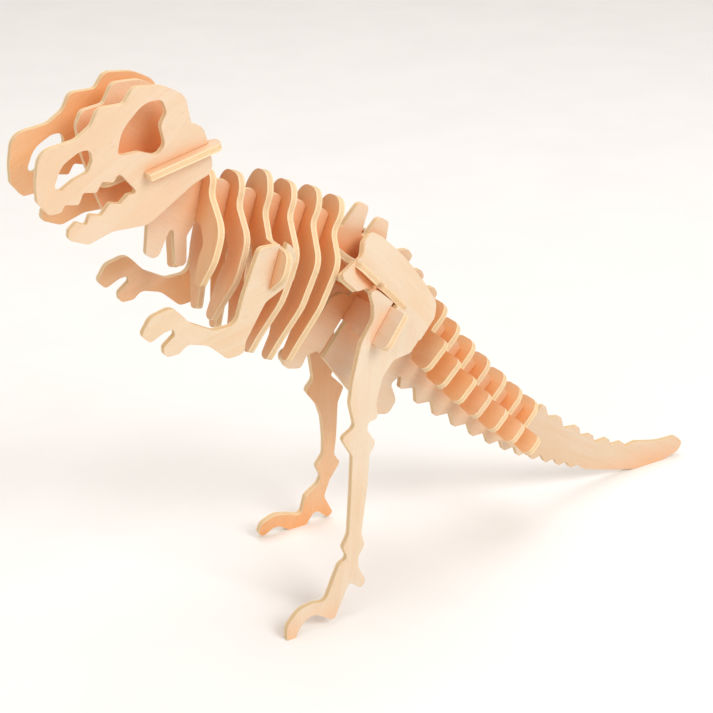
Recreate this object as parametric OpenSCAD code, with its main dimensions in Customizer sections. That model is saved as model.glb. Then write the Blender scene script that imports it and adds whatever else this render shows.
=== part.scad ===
// Slot-together plywood skeleton of a tyrannosaurus: flat plates that cross in half-lap slots.
// Frame: +Z up, the head looks to -Y, +X is the skeleton's left side, the feet stand on z = 0,
// and the origin is under the middle of the bounding box.

/* [Plywood] */
// Thickness of every plate
ply = 3; // [2.8:0.1:3.1]
// Free play on each side of a slot
play = 0.12; // [0.08:0.01:0.2]
// Largest turn between two points of a rounded corner, in degrees
arc_step = 12; // [8:1:30]

/* [Head] */
// Distance from the middle plate to the middle of each skull side
skull_offset = 13.5; // [12.5:0.5:15]
// Half width of the palate bar where it pokes through the skull sides
palate_half_w = 19.5; // [18:0.5:22]
// Rise of the palate bar towards the back of the head, in degrees
palate_rise = 14; // [13:0.5:17]

/* [Ribs and arms] */
// Depth of the lap between a rib and the spine, below the top of the spine
rib_lap = 7.5; // [6:0.5:9]
// Distance from the middle plate to the middle of each arm
arm_offset = 26.5; // [26:0.5:28]
// Reach of the shoulder ears of the third rib, from the middle plate
ear_reach = 36; // [34:0.5:38]

/* [Hips and legs] */
// Half width of the hip cross plate
hip_half_w = 36; // [34:0.5:38]
// Distance from the middle plate to the middle of each leg, at hip height
leg_offset = 24.5; // [24.5:0.5:25.5]
// Lean of the legs away from the middle, in degrees
leg_splay = 7; // [5:0.5:8]
// Lean of the hip side plates, in degrees
ilium_lean = 30; // [28:1:32]
// Half width of the tabs of the hip top plate
tab_half_w = 23; // [21:0.5:24]

/* [Tail] */
// Lean of the tail plates, in degrees
tail_lean = 48; // [46:0.5:50]
// Half width of the wings of the tail plates
wing_half_w = 23; // [21:0.5:24]
// Depth of the lap between a tail plate and the tail, below the top of the plate
tail_lap = 12; // [11:0.5:13]

/* [Hidden] */

birch = [0.93, 0.80, 0.62];
snout_y = -147.89;
tail_tip_y = 202.44;
centre_shift = -(snout_y + tail_tip_y) / 2; // puts the origin under the middle of the length
slot_w = ply + 2 * play;
far = 80; // longer than any plate is deep, for slots that run out through an edge

// Palate bar: where its front edge line crosses the skull sides
palate_at = [-101.2, 210.6];
palate_lean = 90 - palate_rise;
palate_rear = 29.5;
palate_lap = 5;
palate_middle_rear = 22; // rear edge of the bar between its two outer fingers

// Ribs: [place of the spine's top edge at the rib, lean in degrees]
rib_at = [[-72, 199], [-60, 192.5], [-48, 187], [-36.5, 183.5], [-25, 178], [-14, 172]];
rib_lean = [14, 16, 18, 20, 22, 24];
// Rib outlines: [top above the spine, lobe, waist, widest, depth of widest, tip, tip depth]
rib_form = [
    [4.8, 8, 8, 22.5, 24, 9.5, 40.5],
    [7.8, 9, 8.5, 22, 24, 4, 53],
    [11.8, 9, 8.5, 22, 25, 4.5, 59],
    [9, 9, 8.5, 23, 26, 4.5, 64],
    [10, 9, 8, 21.5, 26, 4, 65],
    [10, 8.7, 6.5, 18.6, 24, 3.4, 63]];
rib_arch = 17; // depth of the arch between the arms of a rib
shoulder_rib = 2; // the rib with the ears, counted from 0
ear_top = 14;
ear_low = 34;
arm_lap = 30;
right_arm_shift = [5, 4]; // the right arm sits further back and higher on its ear

// Hips: the top plate lies along the falling spine, the cross plate stands square to it
hip_top_at = [0, 144.2];
hip_top_lean = -42.8;
hip_cross_at = [-2, 130.5];
hip_cross_lean = 38.7;
hip_top_front_lap = 8;
hip_top_rear_lap = -8;
rear_tab = [3.4, 16.5]; // the tab nearer to the ribs, along the top plate
front_tab = [-17, 1]; // the tab nearer to the tail
tab_root_w = 13.6; // half width of the top plate between its tabs
hip_cross_top = 7.2;
hip_cross_low = -10.6;
hip_cross_saddle = 3.4; // top edge of the cross plate between the legs, under the side plates
saddle_half_w = 21.6;
hip_cross_lap = -1.5;
leg_lap = -7;
hip_height = 136;
hip_reach = hip_height / cos(leg_splay);
ilium_at = [8, 0, 165];
ilium_dip = 45.6;

// Tail plates: the top of the lobe of each one
tail_at = [[44.5, 120], [52, 109], [61, 98], [70, 87.5], [80, 77], [90, 67], [100, 57.5]];
ridge_below_lobe = 5.5;
first_wing_depth = 30.5;
wing_step = 1;
wing_shoulder = 13.5;

// ---- Outlines -----------------------------------------------------------------------------

function unit(v) = v / norm(v);

// The points of a corner b between a and c, rounded to radius r
function corner(a, b, c, r) =
    let (u = unit(a - b), w = unit(c - b), half = acos(max(-1, min(1, u * w))) / 2)
    r == 0 || half > 88 ? [b] :
    let (reach = min(r / tan(half), 0.49 * min(norm(a - b), norm(c - b))),
         radius = reach * tan(half),
         middle = b + unit(u + w) * radius / sin(half),
         from = b + u * reach - middle,
         to = b + w * reach - middle,
         start = atan2(from[1], from[0]),
         turn = (atan2(to[1], to[0]) - start + 540) % 360 - 180,
         steps = max(1, ceil(abs(turn) / arc_step)))
    [for (i = [0 : steps]) middle + radius * [cos(start + turn * i / steps), sin(start + turn * i / steps)]];

// A closed outline from vertices [across, up, corner radius]
function rounded(p) =
    let (n = len(p), at = [for (v = p) [v[0], v[1]]])
    [for (i = [0 : n - 1]) each corner(at[(i + n - 1) % n], at[i], at[(i + 1) % n], p[i][2])];

// The vertices of the left half of a mirrored outline, from its right half
function mirrored(p) = concat(p, [for (i = [len(p) - 1 : -1 : 0]) [-p[i][0], p[i][1], p[i][2]]]);

// The direction of the upward side of a cross plate, in the (y, z) plane
function up_of(lean) = [sin(lean), cos(lean)];

// ---- Building blocks ----------------------------------------------------------------------

// Shifts everything so that the origin is under the middle of the length
module placed() {
    color(birch) translate([0, centre_shift, 0]) children();
}

// A plate that stands along the body, with its outline in (y, z)
module lengthwise(x) {
    translate([x, 0, 0]) rotate([90, 0, 90]) linear_extrude(ply, center = true) children();
}

// A plate that stands across the body, with its outline in (x, up)
module across(at, lean, thick = ply) {
    translate([0, at[0], at[1]]) rotate([90 - lean, 0, 0]) linear_extrude(thick, center = true) children();
}

// The slot that a cross plate needs in a lengthwise outline, from one height to another
module slot_along(at, lean, low, high) {
    translate(at) rotate(-lean) translate([-slot_w / 2, low]) square([slot_w, high - low]);
}

// The slot that a lengthwise plate at x needs in a cross outline
module slot_across(x, low, high) {
    translate([x - slot_w / 2, low]) square([slot_w, high - low]);
}

// The solid that keeps only what is above the ground
module above_ground() {
    difference() {
        children();
        translate([-2 * far, -4 * far, -far]) cube([4 * far, 8 * far, far]);
    }
}

// ---- Spine --------------------------------------------------------------------------------

// The top edge of the spine: a flat bump between each rib and the next, higher at its rear
rib_count = len(rib_at);
bump_front = 1.8;
bump_rear = 3.2;
spine_top = [for (i = [0 : rib_count - 1]) each
    i < rib_count - 1
    ? let (front = 0.7 * rib_at[i] + 0.3 * rib_at[i + 1], rear = 0.2 * rib_at[i] + 0.8 * rib_at[i + 1])
      [[rib_at[i][0], rib_at[i][1], 0], [front[0], front[1] + bump_front, 1.5],
       [rear[0], rear[1] + bump_rear, 1.5]]
    : [[rib_at[i][0], rib_at[i][1], 0]]];

// The underside of the spine, from the last rib forward: a lobe hangs between each pair of ribs
spine_depth = 14.5;
lobe_drop = 5;
spine_low = [for (i = [rib_count - 1 : -1 : 0]) each
    let (low = rib_at[i] - spine_depth * up_of(rib_lean[i]))
    i > 0
    ? let (next = rib_at[i - 1] - spine_depth * up_of(rib_lean[i - 1]), mid = (low + next) / 2)
      [[low[0], low[1], 1.5], [mid[0] + 1.6, mid[1] - lobe_drop, 2.5], [mid[0] - 2.2, mid[1] - lobe_drop + 1, 2.5]]
    : [[low[0], low[1], 1.5]]];

neck_outline = concat(
    [[-116, 192.8, 2], [-119, 201, 6], [-123.7, 217.5, 10], [-125.2, 229, 5], [-122.5, 234.4, 3],
     [-113.5, 235.8, 3], [-109.5, 243.4, 4], [-98, 243.3, 10], [-89.5, 239, 6], [-85.5, 229, 3],
     [-79, 223, 4], [-78, 209, 8], [-75, 201, 3]],
    spine_top,
    [[-8.5, 167, 1.5], [0.5, 176.5, 2.5], [5.8, 174.5, 2.5], [1.2, 161.5, 1], [3.8, 161, 1],
     [10.5, 168, 2.5], [15.8, 165.5, 2.5], [14.3, 157, 0], [-3.5, 139.2, 1.5], [-9, 141.5, 3],
     [-14, 151, 4]],
    spine_low,
    [[-81.5, 177, 2.5], [-82.2, 164.7, 2.4], [-86.9, 164.8, 2.2], [-87.1, 180.8, 1], [-89, 180.8, 1],
     [-94, 171.2, 2.2], [-96.5, 170.2, 3], [-99.7, 172.2, 2], [-97.8, 187.6, 3]]);

module neck_spine() {
    placed() lengthwise(0) difference() {
        polygon(rounded(neck_outline));
        for (i = [0 : rib_count - 1]) slot_along(rib_at[i], rib_lean[i], -rib_lap, far / 4);
        slot_along(palate_at, palate_lean, -far / 2, palate_lap);
        slot_along(hip_top_at, hip_top_lean, -far / 8, hip_top_front_lap);
    }
}

// ---- Tail ---------------------------------------------------------------------------------

tail_up = up_of(tail_lean);
tail_count = len(tail_at);
ridge = [for (p = tail_at) p - ridge_below_lobe * tail_up];
ridge_top = [for (i = [0 : tail_count - 1]) each
    i < tail_count - 1
    ? let (mid = (ridge[i] + ridge[i + 1]) / 2 + 1.5 * tail_up)
      [[ridge[i][0], ridge[i][1], 0], [mid[0], mid[1], 3]]
    : [[ridge[i][0], ridge[i][1], 0]]];

// Pointed barbs behind the last tail plate: [tip], each followed by the foot of its steep rear side
barbs = [[108.5, 53.8], [119, 43.8], [131, 35.4], [140.5, 28.3], [151.5, 23.2], [161.5, 18.4]];
barb_foot = [2.5, -8.2];
barb_shrink = 0.11;
barb_edge = [for (i = [0 : len(barbs) - 1]) each
    let (foot = barbs[i] + (1 - barb_shrink * i) * barb_foot)
    [[barbs[i][0], barbs[i][1], 1.8], [foot[0], foot[1], 1.2]]];

// Teeth under the tail, from the tail's end forward, with a valley after each one
teeth = [[127, 13], [119, 16.5], [110.5, 20.5], [102, 24.5], [93, 29], [84, 34.5], [74.5, 40.5], [64.5, 47.5],
    [53.5, 55.5], [42.5, 64], [32, 73], [22.5, 83]];
tooth_edge = [for (i = [0 : len(teeth) - 1]) each
    let (next = i < len(teeth) - 1 ? teeth[i + 1] : [16, 90],
         deep = 3 + 0.25 * i,
         valley = (teeth[i] + next) / 2 + deep * unit([teeth[i][1] - next[1], next[0] - teeth[i][0]]) * -1)
    [[teeth[i][0], teeth[i][1], 1.2], [valley[0], valley[1], 1]]];

tail_outline = concat(
    [[14.9, 156.4, 0], [20.5, 150.6, 1], [26.2, 150.4, 2.5], [28.6, 146.8, 2], [25.2, 143.4, 1.2],
     [28.8, 139.8, 1.2], [33.2, 139.5, 2], [35, 135.6, 2], [31.8, 132.8, 1.2], [35.4, 129.8, 1.2],
     [40.4, 129.6, 2.2], [42.5, 125.8, 2], [38.6, 121.5, 1.5]],
    ridge_top,
    [[99, 48, 2]],
    barb_edge,
    [[170.5, 15.8, 2], [186, 12, 20], [198.8, 11.6, 4], [203.4, 6.8, 3], [200, 2.4, 4], [187, -0.7, 14],
     [174, -0.7, 14], [158, 3.4, 30], [146, 6.8, 20], [136, 9.8, 4], [131.5, 13.5, 1]],
    tooth_edge,
    [[17.5, 87, 2], [20.5, 78, 4], [16.5, 72, 4], [8, 74, 8], [-5, 89.5, 20], [-13, 101, 10],
     [-21, 112.5, 3], [-26.5, 111.5, 2], [-29.5, 106, 2.5], [-36.5, 107.5, 3], [-40.5, 114.5, 3],
     [-30, 119.5, 8], [-19, 129.5, 8], [-13.5, 136, 4], [-8, 137, 4], [-3.4, 133.5, 3],
     [-1.5, 140, 0]]);

module tail_spine() {
    placed() above_ground() lengthwise(0) difference() {
        polygon(rounded(tail_outline));
        for (p = tail_at) slot_along(p, tail_lean, -tail_lap, far / 4);
        slot_along(hip_top_at, hip_top_lean, hip_top_rear_lap, far / 8);
        slot_along(hip_cross_at, hip_cross_lean, -far / 2, hip_cross_lap);
    }
}

// Tail plate number i, counted from 0: a round lobe on top and two wings that droop
module tail_plate(i) {
    wing = first_wing_depth - wing_step * i;
    half = mirrored([[5, 0.8, 6], [8, -3.5, 7], [8.8, -wing_shoulder + 0.5, 1.2],
        [wing_half_w - 0.8, -wing_shoulder, 3.5], [wing_half_w, -wing, 3.5], [11, -wing + 1.5, 3],
        [7, -wing + 7, 4]]);
    placed() across(tail_at[i], tail_lean) difference() {
        polygon(rounded(half));
        slot_across(0, -far, -tail_lap);
    }
}

module tail_plate_1() { tail_plate(0); }
module tail_plate_2() { tail_plate(1); }
module tail_plate_3() { tail_plate(2); }
module tail_plate_4() { tail_plate(3); }
module tail_plate_5() { tail_plate(4); }
module tail_plate_6() { tail_plate(5); }
module tail_plate_7() { tail_plate(6); }

// ---- Head ---------------------------------------------------------------------------------

skull_outline = [
    // snout, brow and crown
    [-147.9, 206.5, 2], [-147.8, 214, 12], [-145.6, 225.4, 7], [-131, 227.6, 8], [-124.5, 232, 6],
    [-121.3, 238.2, 3.5], [-111, 238.4, 3], [-106.6, 244.3, 4], [-95, 243.4, 14], [-85.8, 238.8, 7],
    [-83.8, 227, 2.5], [-79, 225.4, 5], [-76.8, 218, 3], [-75.3, 209.5, 4], [-77, 205.8, 3], [-84, 203, 8],
    // jaw
    [-104, 190, 8], [-119, 190, 6], [-129, 186.5, 4], [-137, 189.8, 2], [-136.3, 193.5, 1],
    [-133, 196.2, 1.2], [-129.3, 194.3, 0.8], [-127.5, 198.2, 1], [-123, 197, 1.2], [-119, 201.3, 1.2],
    [-114.8, 200.2, 1.2], [-111.5, 203.2, 1], [-107.3, 203.5, 1.5],
    // upper teeth
    [-114.8, 212.8, 1.5], [-117.3, 209.2, 1], [-121.8, 210.4, 1.2], [-124.4, 206.4, 1],
    [-129.6, 207.3, 1.2], [-131.9, 202.9, 1], [-137.3, 203.8, 1], [-138.9, 201.2, 1.2], [-143.6, 200.8, 2]];
nostril = [[-141, 211.3, 2], [-137.5, 219, 9], [-130, 223.3, 6], [-125.6, 223.4, 2.2], [-124.9, 219, 4],
    [-127.2, 214.6, 3], [-133, 212.6, 4], [-138.8, 209, 1.8]];
eye = [[-115.2, 218.8, 2], [-113, 228.5, 14], [-103, 238, 10], [-95.5, 238.3, 2.5], [-93.7, 233, 2.5],
    [-96.6, 228, 3], [-95, 220.5, 3.5], [-98.5, 216.6, 3.5], [-106, 219.3, 5]];

module skull_side(x) {
    placed() lengthwise(x) difference() {
        polygon(rounded(skull_outline));
        polygon(rounded(nostril));
        polygon(rounded(eye));
        slot_along(palate_at, palate_lean, 0, far);
    }
}

module skull_left() { skull_side(skull_offset); }
module skull_right() { skull_side(-skull_offset); }

// Palate bar: a finger outside each skull side, and a tongue between them
module palate_bar() {
    half = mirrored([[9.5, palate_middle_rear, 2.5], [skull_offset - ply / 2, palate_rear - 2.5, 2],
        [skull_offset, palate_rear, 2.5], [palate_half_w, palate_rear, 3.2], [palate_half_w, -3, 0.6],
        [9, -3, 2], [8, -18, 4]]);
    placed() across(palate_at, palate_lean) difference() {
        polygon(rounded(half));
        slot_across(0, palate_lap, far);
        for (x = [-skull_offset, skull_offset]) slot_across(x, -far, 0);
    }
}

// ---- Ribs and arms ------------------------------------------------------------------------

// The right half of rib number i, with the ears where the rib carries the arms
function rib_half(i) =
    let (f = rib_form[i], top = f[0], lobe = f[1], waist = f[2], wide = f[3], deep = f[4], tip = f[5], end = f[6],
         drop = end - deep, outer = tip + 5)
    concat(
        [[0.55 * lobe, top, lobe], [lobe, 0.35 * top, lobe], [waist, -4, 6]],
        i == shoulder_rib
        ? [[wide - 5, -ear_top + 1, 3], [ear_reach - 1.5, -ear_top, 4], [ear_reach, -ear_top - 10, 8],
           [wide + 3, -ear_low, 4]]
        : [[wide, -deep + 9, 10]],
        [[wide - 1.5, -deep - 0.3 * drop, 20], [0.75 * outer + 0.25 * wide, -deep - 0.78 * drop, 16],
         [outer, -end - 0.5, 2.2], [tip, -end, 2.2],
         [(tip + wide) / 2 - 6, 4 - (deep + end) / 2, 24], [wide - 10.5, -deep, 12], [6.5, -rib_arch, 5]]);

module rib(i) {
    placed() across(rib_at[i], rib_lean[i]) difference() {
        polygon(rounded(mirrored(rib_half(i))));
        slot_across(0, -far, -rib_lap);
        if (i == shoulder_rib)
            for (x = [-arm_offset, arm_offset]) slot_across(x, -far, -arm_lap);
    }
}

module rib_1() { rib(0); }
module rib_2() { rib(1); }
module rib_3() { rib(2); }
module rib_4() { rib(3); }
module rib_5() { rib(4); }
module rib_6() { rib(5); }

arm_outline = [
    // shoulder and upper arm
    [-62.5, 176, 3], [-49, 176, 4], [-45.5, 170, 4], [-51.5, 157.5, 4], [-60.5, 153, 6], [-70, 138, 4],
    // elbow and forearm
    [-71, 132.8, 3], [-78.5, 132, 4], [-87, 140, 8], [-96, 142.5, 6],
    // thumb, finger and wrist
    [-99.5, 139.3, 3], [-106, 139, 2.5], [-106.2, 143.5, 2], [-101, 147.5, 1.2], [-101.5, 150.3, 1.2],
    [-105.5, 149.8, 1.5], [-112, 146.6, 2.2], [-115.3, 150.5, 2.5], [-111, 157, 5], [-101.5, 159.5, 5],
    [-94, 151, 6], [-84, 145.6, 6], [-74, 146, 5], [-70.5, 157, 12]];

// The shift places the arm on its ear: the slots are loose, so the two arms sit unevenly
module arm(x, shift) {
    placed() lengthwise(x) difference() {
        translate(shift) polygon(rounded(arm_outline));
        slot_along(rib_at[shoulder_rib], rib_lean[shoulder_rib], -arm_lap, far / 4);
    }
}

module arm_left() { arm(arm_offset, [0, 0]); }
module arm_right() { arm(-arm_offset, right_arm_shift); }

// ---- Hips and legs ------------------------------------------------------------------------

// Hip top plate: two tabs on each side go through the leaning side plates
module hip_top_plate() {
    half = mirrored([[6, 23.4, 3], [9.5, rear_tab[1], 3], [tab_half_w, rear_tab[1], 3],
        [tab_half_w, rear_tab[0], 2], [tab_root_w, rear_tab[0], 0], [tab_root_w, front_tab[1], 0],
        [tab_half_w, front_tab[1], 2], [tab_half_w, front_tab[0], 3], [9, front_tab[0], 3], [6, -22, 3]]);
    placed() across(hip_top_at, hip_top_lean) difference() {
        polygon(rounded(half));
        slot_across(0, hip_top_front_lap, far);
        slot_across(0, -far, hip_top_rear_lap);
    }
}

// The slab in which the hip top plate lies, for the slots of the side plates
module tab_slab(low, high) {
    across(hip_top_at, hip_top_lean, slot_w) translate([0, low]) square([far, high - low]);
}

ilium_outline = [
    [-0.6, -5, 4], [1.2, 1.4, 3.5], [8, 3.2, 6], [25, 3.8, 30], [41, 0.8, 14], [52.5, -2.6, 4.5], [54, -10, 6],
    [48.5, -26, 2.5], [43.5, -25, 3], [38, -20.5, 2], [30, -22.5, 3], [9, -22.6, 3], [3.8, -27.6, 1.8],
    [-5.2, -27.6, 2.2], [-7.5, -26.4, 1.6], [-5.9, -23.2, 2], [-1.8, -15.4, 8], [1.2, -11.2, 4]];

module ilium_left() {
    placed() difference() {
        translate(ilium_at) rotate([-ilium_dip, 0, 0]) rotate([0, -ilium_lean, 0])
            rotate([90, 0, 90]) linear_extrude(ply, center = true) polygon(rounded(ilium_outline));
        for (tab = [rear_tab, front_tab]) tab_slab(tab[0] - play, tab[1] + play);
    }
}

module ilium_right() { mirror([1, 0, 0]) ilium_left(); }

// The leg's own plane leans out from hip height to the ground
module leg_plane(thick) {
    translate([leg_offset, 0, hip_height]) rotate([0, -leg_splay, 0]) translate([0, 0, -hip_reach])
        rotate([90, 0, 90]) linear_extrude(thick, center = true) children();
}

// Hip cross plate: its ends stick out through the legs, which are pushed on from below
module hip_cross_plate() {
    half = mirrored([[saddle_half_w, hip_cross_saddle, 1], [saddle_half_w + 1, hip_cross_top, 1.5],
        [hip_half_w, hip_cross_top, 1], [hip_half_w + 1.7, hip_cross_low, 3.5],
        [12, hip_cross_low, 3], [9, hip_cross_low + 2, 3]]);
    placed() difference() {
        across(hip_cross_at, hip_cross_lean) difference() {
            polygon(rounded(half));
            slot_across(0, hip_cross_lap, far);
        }
        for (side = [0, 1]) mirror([side, 0, 0]) intersection() {
            leg_plane(slot_w) translate([-far / 2, hip_reach - far / 2]) square([far, far]);
            across(hip_cross_at, hip_cross_lean, 2 * ply) translate([0, leg_lap - far]) square([far, far]);
        }
    }
}

// The top of both legs, from the front edge of the thigh to the back of the thigh: a narrow prong,
// then a straight edge close under the hip top plate
leg_top = [[-7.5, 134, 6], [-7.2, 140, 3], [-8.6, 146.2, 2.6], [-4.8, 146.2, 1.8], [8.9, 133.5, 5],
    [12.3, 128.5, 6], [14.4, 120, 2.4], [9.5, 115, 3.5]];

// Left leg: it steps forward and stands on its toe
left_leg_outline = concat(leg_top, [
    // back of the thigh, knee and shin
    [1, 114, 4], [-5.2, 107.5, 8], [-9.3, 97, 5], [-8.8, 89.2, 3], [-13.6, 89.2, 2.2], [-14.8, 85.6, 2.5],
    [-10.8, 79, 2.6], [-14.4, 73.8, 3], [-16.5, 60, 20], [-21.2, 38.6, 3], [-19.9, 33, 2.5], [-23.6, 28.2, 2.5],
    // heel spur, heel and toe
    [-24, 23.4, 3], [-20.2, 15.4, 2.8], [-24, 13, 2.4], [-28.7, 18.2, 2], [-38.2, 2, 2.2], [-47.5, 8.2, 9],
    [-53.5, 6, 7], [-58.6, -0.8, 2], [-62, -0.8, 2.6], [-61.6, 6, 6],
    // instep, ankle and front of the shin
    [-55, 12.2, 9], [-48, 13.3, 8], [-41.5, 12, 4], [-36.2, 22, 12], [-33, 27.6, 3], [-28.6, 29, 2],
    [-30.9, 34.6, 2.2], [-27.4, 39.8, 4], [-24.6, 60, 30], [-22.7, 75.6, 3], [-27.6, 84.6, 2],
    [-20.4, 88.4, 3], [-22.2, 99, 8], [-20, 109, 10], [-14.5, 125, 8]]);

// Right leg: it stands further back, on its heel
right_leg_outline = concat(leg_top, [
    // back of the thigh, knee and shin
    [5, 113, 3], [4.5, 105, 8], [5.5, 94, 4], [9, 87.5, 2.2], [3.5, 84, 2], [12, 75, 2.6],
    [9.2, 67, 5], [9.6, 48, 20], [9.2, 37.4, 3], [12.9, 32, 2.4], [7.6, 23.2, 4],
    // heel spur, heel and toe
    [5, 14, 5], [10.6, 3.2, 2], [8, 0.6, 1.6], [0.5, 7.6, 2.6], [-5, -1, 2.5], [-12, -1, 4],
    [-21.5, 5.4, 7], [-27.5, 1.2, 3], [-31.2, 2.6, 2.6], [-29.6, 8.4, 4],
    // instep, ankle and front of the shin
    [-22, 11.5, 8], [-14, 9.2, 8], [-7.4, 6.4, 2.5], [-5.6, 17, 3], [1, 22, 4], [2.8, 26, 3],
    [-0.5, 32.8, 2.6], [3.3, 38.8, 4], [2.8, 48, 20], [1, 60, 12], [-2, 68, 5], [-9, 77.5, 2.5],
    [-5, 83, 4], [-7.5, 95, 6], [-10.5, 108, 10], [-12.5, 122, 8]]);

module leg(outline) {
    placed() above_ground() difference() {
        leg_plane(ply) polygon(rounded(outline));
        across(hip_cross_at, hip_cross_lean, slot_w) translate([0, leg_lap]) square([far, far / 2]);
    }
}

module leg_left() { leg(left_leg_outline); }
module leg_right() { mirror([1, 0, 0]) leg(right_leg_outline); }

neck_spine();
tail_spine();
skull_left();
skull_right();
palate_bar();
rib_1();
rib_2();
rib_3();
rib_4();
rib_5();
rib_6();
arm_left();
arm_right();
hip_top_plate();
hip_cross_plate();
ilium_left();
ilium_right();
leg_left();
leg_right();
tail_plate_1();
tail_plate_2();
tail_plate_3();
tail_plate_4();
tail_plate_5();
tail_plate_6();
tail_plate_7();
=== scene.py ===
"""A slot-together plywood skeleton of a tyrannosaurus, standing on a pale studio floor.

Every plate is a CAD node. This script softens its cut edges, gives it a birch plywood material
that follows the plate's own plane, and sets the floor, the lights and the camera.
Lengths are in metres in the frame's own axes; the plywood material works in millimetres.
"""

import math
import random

import bpy
import numpy as np
from mathutils import Matrix, Vector

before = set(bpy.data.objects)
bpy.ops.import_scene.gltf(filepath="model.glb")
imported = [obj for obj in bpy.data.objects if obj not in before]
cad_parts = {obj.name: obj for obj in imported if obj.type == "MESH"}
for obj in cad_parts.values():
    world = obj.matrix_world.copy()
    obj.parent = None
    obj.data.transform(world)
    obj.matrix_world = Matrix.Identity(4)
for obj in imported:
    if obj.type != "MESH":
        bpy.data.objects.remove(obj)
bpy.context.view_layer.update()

# ---- Sizes and colours --------------------------------------------------------------------

PLY_MM = 3.0
CORE_PLY_MM = 1.05  # the middle ply, between the two glue lines
GLUE_MM = 0.1
EDGE_ROUND = 0.0004
MM = 1000.0  # millimetres in a metre

# Linear colours of the birch veneer: FACE on the pale side of a plate, BACK on the warm side, whose
# warmer, darker tone is painted shade for the faces that look between the plates
FACE_PALE = (0.745, 0.64, 0.51)
FACE_WARM = (0.735, 0.535, 0.36)
BACK_PALE = (0.80, 0.54, 0.34)
BACK_WARM = (0.76, 0.43, 0.21)
EDGE_LIGHT = (0.83, 0.67, 0.44)
EDGE_CORE = (0.78, 0.59, 0.36)
GLUE_LINE = (0.60, 0.38, 0.18)
PORE = (0.50, 0.31, 0.16)
PAINTED_NOOK_BOUNCE = (0.90, 0.36, 0.10)  # painted bounce light and shade in the nooks between close plates
PAINTED_BOUNCE_REACH = 0.03

# How much warmer the pale side of some plates is, by the first word of their names: partly their own
# tint, partly painted warm bounce light from the plates around them
SHEET_TINT_AND_BOUNCE = {"skull": 0.4, "palate": 0.3, "neck": 0.3, "tail": 0.2}

FLOOR_COLOUR = (0.90, 0.90, 0.90)
FLOOR_SIDE = 6.0

CAMERA_AZIMUTH = 58.0
CAMERA_ELEVATION = 24.0
CAMERA_DISTANCE = 0.714
CAMERA_TARGET = Vector((0.0, -0.02727, 0.10418))
SENSOR_MM = 36.0
FRAME_SIDE = 713
FOCAL_IN_FRAME = 1600.0


# ---- Node helpers -------------------------------------------------------------------------


class Nodes:
    """Short ways to add and join the nodes of one material."""

    def __init__(self, name):
        self.material = bpy.data.materials.new(name)
        self.material.use_nodes = True
        self.tree = self.material.node_tree
        self.tree.nodes.clear()

    def add(self, kind, inputs=None, **settings):
        node = self.tree.nodes.new(kind)
        for key, value in settings.items():
            setattr(node, key, value)
        for key, value in (inputs or {}).items():
            if isinstance(value, bpy.types.NodeSocket):
                self.tree.links.new(value, node.inputs[key])
            else:
                node.inputs[key].default_value = value
        return node

    def math(self, operation, a, b=0.0, clamp=False):
        return self.add("ShaderNodeMath", {0: a, 1: b}, operation=operation, use_clamp=clamp).outputs[0]

    def scaled(self, vector, scale):
        node = self.add("ShaderNodeVectorMath", {0: vector, 1: scale}, operation="MULTIPLY")
        return node.outputs["Vector"]

    def noise(self, vector, detail=3.0, roughness=0.55, distortion=0.0, scale=1.0):
        inputs = {"Vector": vector, "Scale": scale, "Detail": detail}
        inputs.update({"Roughness": roughness, "Distortion": distortion})
        return self.add("ShaderNodeTexNoise", inputs).outputs["Fac"]

    def span(self, value, low, high, to_low=0.0, to_high=1.0):
        """value from low..high mapped smoothly to to_low..to_high."""
        node = self.add(
            "ShaderNodeMapRange",
            {"Value": value, "From Min": low, "From Max": high, "To Min": to_low, "To Max": to_high},
            interpolation_type="SMOOTHSTEP",
        )
        return node.outputs["Result"]

    def mix(self, factor, a, b, blend="MIX"):
        node = self.add("ShaderNodeMix", data_type="RGBA", blend_type=blend)
        for index, value in ((0, factor), (6, a), (7, b)):
            if isinstance(value, bpy.types.NodeSocket):
                self.tree.links.new(value, node.inputs[index])
            elif index == 0:
                node.inputs[index].default_value = value
            else:
                node.inputs[index].default_value = (*value, 1.0)
        return node.outputs[2]

    def mix_value(self, factor, a, b):
        return self.add("ShaderNodeMix", {0: factor, 2: a, 3: b}, data_type="FLOAT").outputs[0]

    def surface(self, inputs):
        """Ends the material in a Principled shader with those inputs."""
        shader = self.add("ShaderNodeBsdfPrincipled", inputs)
        self.add("ShaderNodeOutputMaterial", {"Surface": shader.outputs["BSDF"]})
        return self.material


# ---- Plates -------------------------------------------------------------------------------


def plate_axes(obj):
    """The plate's grain, across and thickness directions, and the middle of its thickness."""
    mesh = obj.data
    points = np.array([v.co for v in mesh.vertices])
    normals = np.array([p.normal for p in mesh.polygons])
    areas = np.array([p.area for p in mesh.polygons])
    spread = (normals * areas[:, None]).T @ normals
    thickness = np.linalg.eigh(spread)[1][:, -1]
    centre = (points.min(0) + points.max(0)) / 2
    # The pale face looks outward on a side plate and to the rear on a cross plate; the warm face on the
    # other side is painted shade
    side = 1.0 if centre[0] > -0.002 else -1.0
    pale_way = np.array([side, -0.5 if obj.name.startswith("hip_cross") else 0.5, 0.3])
    if thickness @ pale_way < 0:
        thickness = -thickness
    flat = points - points.mean(0)
    flat = flat - np.outer(flat @ thickness, thickness)
    grain = np.linalg.eigh(flat.T @ flat)[1][:, -1]
    across = np.cross(thickness, grain)
    height = points @ thickness
    middle = centre + (((height.min() + height.max()) / 2) - centre @ thickness) * thickness
    return Vector(grain), Vector(across), Vector(thickness), Vector(middle)


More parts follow.
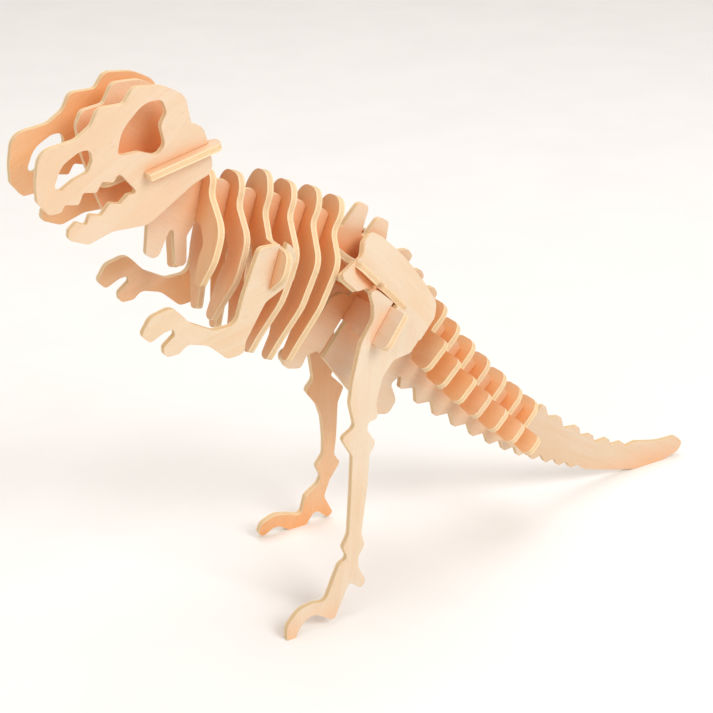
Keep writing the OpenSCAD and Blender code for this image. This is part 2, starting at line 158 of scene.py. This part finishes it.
def face_veneer(n, sheet, depth, tint_and_bounce):
    """The colour of both faces: broad tone, soft growth bands, fine fibres and short pores, with
    painted shade on the warm back face and painted bounce light in the nooks between plates.
    """
    tone = n.noise(n.scaled(sheet, (0.02, 0.045, 0.05)), detail=2.0)
    bands = n.noise(n.scaled(sheet, (0.012, 0.16, 0.1)), detail=3.0, roughness=0.5, distortion=0.6)
    fibres = n.noise(n.scaled(sheet, (0.06, 2.2, 2.2)), detail=4.0, roughness=0.65)
    pores = n.noise(n.scaled(sheet, (0.28, 3.4, 3.4)), detail=1.0, roughness=0.4)
    warmth = n.math("ADD", n.span(tone, 0.35, 0.68, 0.0, 0.5), n.span(bands, 0.38, 0.66, 0.0, 0.3))
    warmth = n.math("ADD", warmth, n.span(fibres, 0.3, 0.72, -0.12, 0.3), clamp=True)
    # The pale front gets the named plates' extra warmth, partly their own tint and partly painted warm
    # bounce light
    front = n.mix(n.math("ADD", warmth, tint_and_bounce, clamp=True), FACE_PALE, FACE_WARM)
    # The warm back is painted shade: the faces that look between the plates are drawn warmer and darker
    back = n.mix(warmth, BACK_PALE, BACK_WARM)
    colour = n.mix(n.span(depth, -0.2, 0.2), back, front)
    # Painted bounce light and shade: the colour turns orange where ambient occlusion finds close plates
    # within reach
    open_sky = n.add("ShaderNodeAmbientOcclusion", {"Distance": PAINTED_BOUNCE_REACH}, samples=6).outputs["AO"]
    colour = n.mix(n.span(open_sky, 0.25, 0.85, 0.75, 0.0), colour, PAINTED_NOOK_BOUNCE)
    pore = n.span(pores, 0.67, 0.74, 0.0, 0.28)
    return n.mix(pore, colour, PORE), fibres, pore


def cut_edge(n, sheet, depth, fibres):
    """The colour of the edge: two light outer plies, a browner core, and two glue lines."""
    wobble = n.noise(n.scaled(sheet, (0.25, 0.25, 0.0)), detail=2.0)
    level = n.math("ABSOLUTE", n.math("ADD", depth, n.span(wobble, 0.2, 0.8, -0.09, 0.09)))
    core = n.math("LESS_THAN", level, CORE_PLY_MM / 2)
    glue_away = n.math("ABSOLUTE", n.math("SUBTRACT", level, CORE_PLY_MM / 2))
    glue = n.span(glue_away, GLUE_MM / 2, GLUE_MM, 0.8, 0.0)
    ends = n.noise(n.scaled(sheet, (2.6, 2.6, 3.2)), detail=3.0, roughness=0.7)
    scorch = n.noise(n.scaled(sheet, (0.11, 0.11, 0.02)), detail=2.0)
    ply_light = n.mix(n.span(fibres, 0.3, 0.75, 0.0, 0.55), EDGE_LIGHT, EDGE_CORE)
    ply_core = n.mix(n.span(ends, 0.35, 0.7, 0.0, 0.35), EDGE_CORE, BACK_WARM)
    colour = n.mix(core, ply_light, ply_core)
    colour = n.mix(n.span(scorch, 0.45, 0.75, 0.0, 0.15), colour, BACK_WARM)
    return n.mix(glue, colour, GLUE_LINE), ends, glue


def plywood(name, obj, rng):
    """Three-ply birch: fine long grain on both faces, plies and glue lines along the cut edge."""
    tint_and_bounce = SHEET_TINT_AND_BOUNCE.get(obj.name.split("_")[0], 0.0)
    grain, across, thickness, middle = plate_axes(obj)
    turn = math.radians(rng.uniform(-9, 9))
    grain, across = (
        math.cos(turn) * grain + math.sin(turn) * across,
        math.cos(turn) * across - math.sin(turn) * grain,
    )
    rows = Matrix((grain, across, thickness))
    shift = -(rows @ middle) * MM

    n = Nodes(name)
    coords = n.add("ShaderNodeTexCoord")
    # Millimetres in the plate's own axes: x along the grain, y across it, z through the plies
    plate = n.add(
        "ShaderNodeMapping",
        {
            "Vector": coords.outputs["Object"],
            "Location": shift,
            "Rotation": rows.to_euler("XYZ"),
            "Scale": (MM, MM, MM),
        },
        vector_type="POINT",
    ).outputs["Vector"]
    depth = n.add("ShaderNodeSeparateXYZ", {0: plate}).outputs["Z"]
    # Each plate is cut from its own part of the sheet
    sheet = n.add(
        "ShaderNodeVectorMath",
        {0: plate, 1: (rng.uniform(0, 900), rng.uniform(0, 900), rng.uniform(0, 90))},
        operation="ADD",
    ).outputs["Vector"]

    face, fibres, pore = face_veneer(n, sheet, depth, tint_and_bounce)
    edge, ends, glue = cut_edge(n, sheet, depth, fibres)
    facing = n.add(
        "ShaderNodeVectorMath", {0: coords.outputs["Normal"], 1: thickness}, operation="DOT_PRODUCT"
    ).outputs["Value"]
    on_edge = n.span(n.math("ABSOLUTE", facing), 0.72, 0.93, 1.0, 0.0)
    colour = n.mix(on_edge, face, edge)
    # No two plates come from quite the same veneer
    tint = rng.uniform(0.93, 1.0)
    sheet_colour = (tint, tint * rng.uniform(0.975, 1.0), tint * rng.uniform(0.93, 1.0))
    colour = n.mix(1.0, colour, sheet_colour, "MULTIPLY")

    rough_face = n.span(fibres, 0.3, 0.7, 0.50, 0.64)
    rough_edge = n.span(ends, 0.3, 0.7, 0.66, 0.82)
    rough = n.mix_value(on_edge, rough_face, rough_edge)
    relief_face = n.math("SUBTRACT", fibres, n.math("MULTIPLY", pore, 0.9))
    relief_edge = n.math("SUBTRACT", ends, n.math("MULTIPLY", glue, 0.8))
    relief = n.mix_value(on_edge, relief_face, relief_edge)
    bump = n.add("ShaderNodeBump", {"Height": relief, "Strength": 0.45, "Distance": 0.00012})

    return n.surface(
        {
            "Base Color": colour,
            "Roughness": rough,
            "Normal": bump.outputs["Normal"],
            "Specular IOR Level": 0.35,
            "Sheen Weight": 0.04,
        }
    )


def soften_edges(obj):
    """Rounds the cut edges a little, as on die-cut plates that have been sanded."""
    flat = obj.modifiers.new("whole_faces", "DECIMATE")
    flat.decimate_type = "DISSOLVE"
    flat.angle_limit = math.radians(0.5)
    rounding = obj.modifiers.new("soft_edges", "BEVEL")
    rounding.width = EDGE_ROUND
    rounding.segments = 2
    rounding.limit_method = "ANGLE"
    rounding.angle_limit = math.radians(40)
    rounding.use_clamp_overlap = False
    shading = obj.modifiers.new("even_shading", "WEIGHTED_NORMAL")
    shading.weight = 60
    for polygon in obj.data.polygons:
        polygon.use_smooth = True


def finish_plates():
    rng = random.Random(7)
    for name in sorted(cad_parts):
        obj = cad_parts[name]
        material = plywood("plywood_" + name, obj, rng)
        obj.data.materials.clear()
        obj.data.materials.append(material)
        soften_edges(obj)


# ---- Studio -------------------------------------------------------------------------------


def make_floor():
    bpy.ops.mesh.primitive_plane_add(size=FLOOR_SIDE, location=(0, 0, 0))
    floor = bpy.context.object
    floor.name = "studio_floor"
    n = Nodes("studio_floor")
    coords = n.add("ShaderNodeTexCoord")
    mottle = n.noise(coords.outputs["Object"], detail=3.0, scale=14.0)
    dark = tuple(0.975 * c for c in FLOOR_COLOUR)
    colour = n.mix(n.span(mottle, 0.3, 0.7), FLOOR_COLOUR, dark)
    material = n.surface({"Base Color": colour, "Roughness": 0.75, "Specular IOR Level": 0.2})
    floor.data.materials.append(material)


def aim(obj, away, distance):
    """Places the object in that direction from the target, looking back at it."""
    obj.location = CAMERA_TARGET + away * distance
    obj.rotation_mode = "QUATERNION"
    obj.rotation_quaternion = (-away).to_track_quat("-Z", "Y")


def softbox(name, direction, distance, size, power, colour):
    """A square area light that looks at the model from that direction."""
    light = bpy.data.lights.new(name, "AREA")
    light.shape = "SQUARE"
    light.size = size
    light.energy = power
    light.color = colour
    obj = bpy.data.objects.new(name, light)
    bpy.context.scene.collection.objects.link(obj)
    aim(obj, Vector(direction).normalized(), distance)


def make_lights():
    world = bpy.data.worlds.new("studio")
    world.use_nodes = True
    background = world.node_tree.nodes["Background"]
    background.inputs["Color"].default_value = (1.0, 0.93, 0.85, 1.0)
    background.inputs["Strength"].default_value = 0.56
    bpy.context.scene.world = world
    softbox("key", (0.85, 0.30, 0.75), 2.0, 1.0, 22.0, (1.0, 0.98, 0.97))
    softbox("fill", (0.45, -0.85, 0.6), 2.4, 1.6, 12.0, (1.0, 0.93, 0.86))
    softbox("top", (-0.25, 0.1, 1.0), 2.2, 1.6, 18.0, (1.0, 0.99, 0.98))


def make_camera():
    camera = bpy.data.cameras.new("camera")
    camera.sensor_width = SENSOR_MM
    camera.lens = FOCAL_IN_FRAME * SENSOR_MM / FRAME_SIDE
    camera.clip_start = 0.01
    obj = bpy.data.objects.new("camera", camera)
    bpy.context.scene.collection.objects.link(obj)
    a, e = math.radians(CAMERA_AZIMUTH), math.radians(CAMERA_ELEVATION)
    away = Vector((math.sin(a) * math.cos(e), -math.cos(a) * math.cos(e), math.sin(e)))
    aim(obj, away, CAMERA_DISTANCE)
    bpy.context.scene.camera = obj


finish_plates()
make_floor()
make_lights()
make_camera()
bpy.context.scene.view_settings.view_transform = "Standard"
bpy.context.view_layer.update()
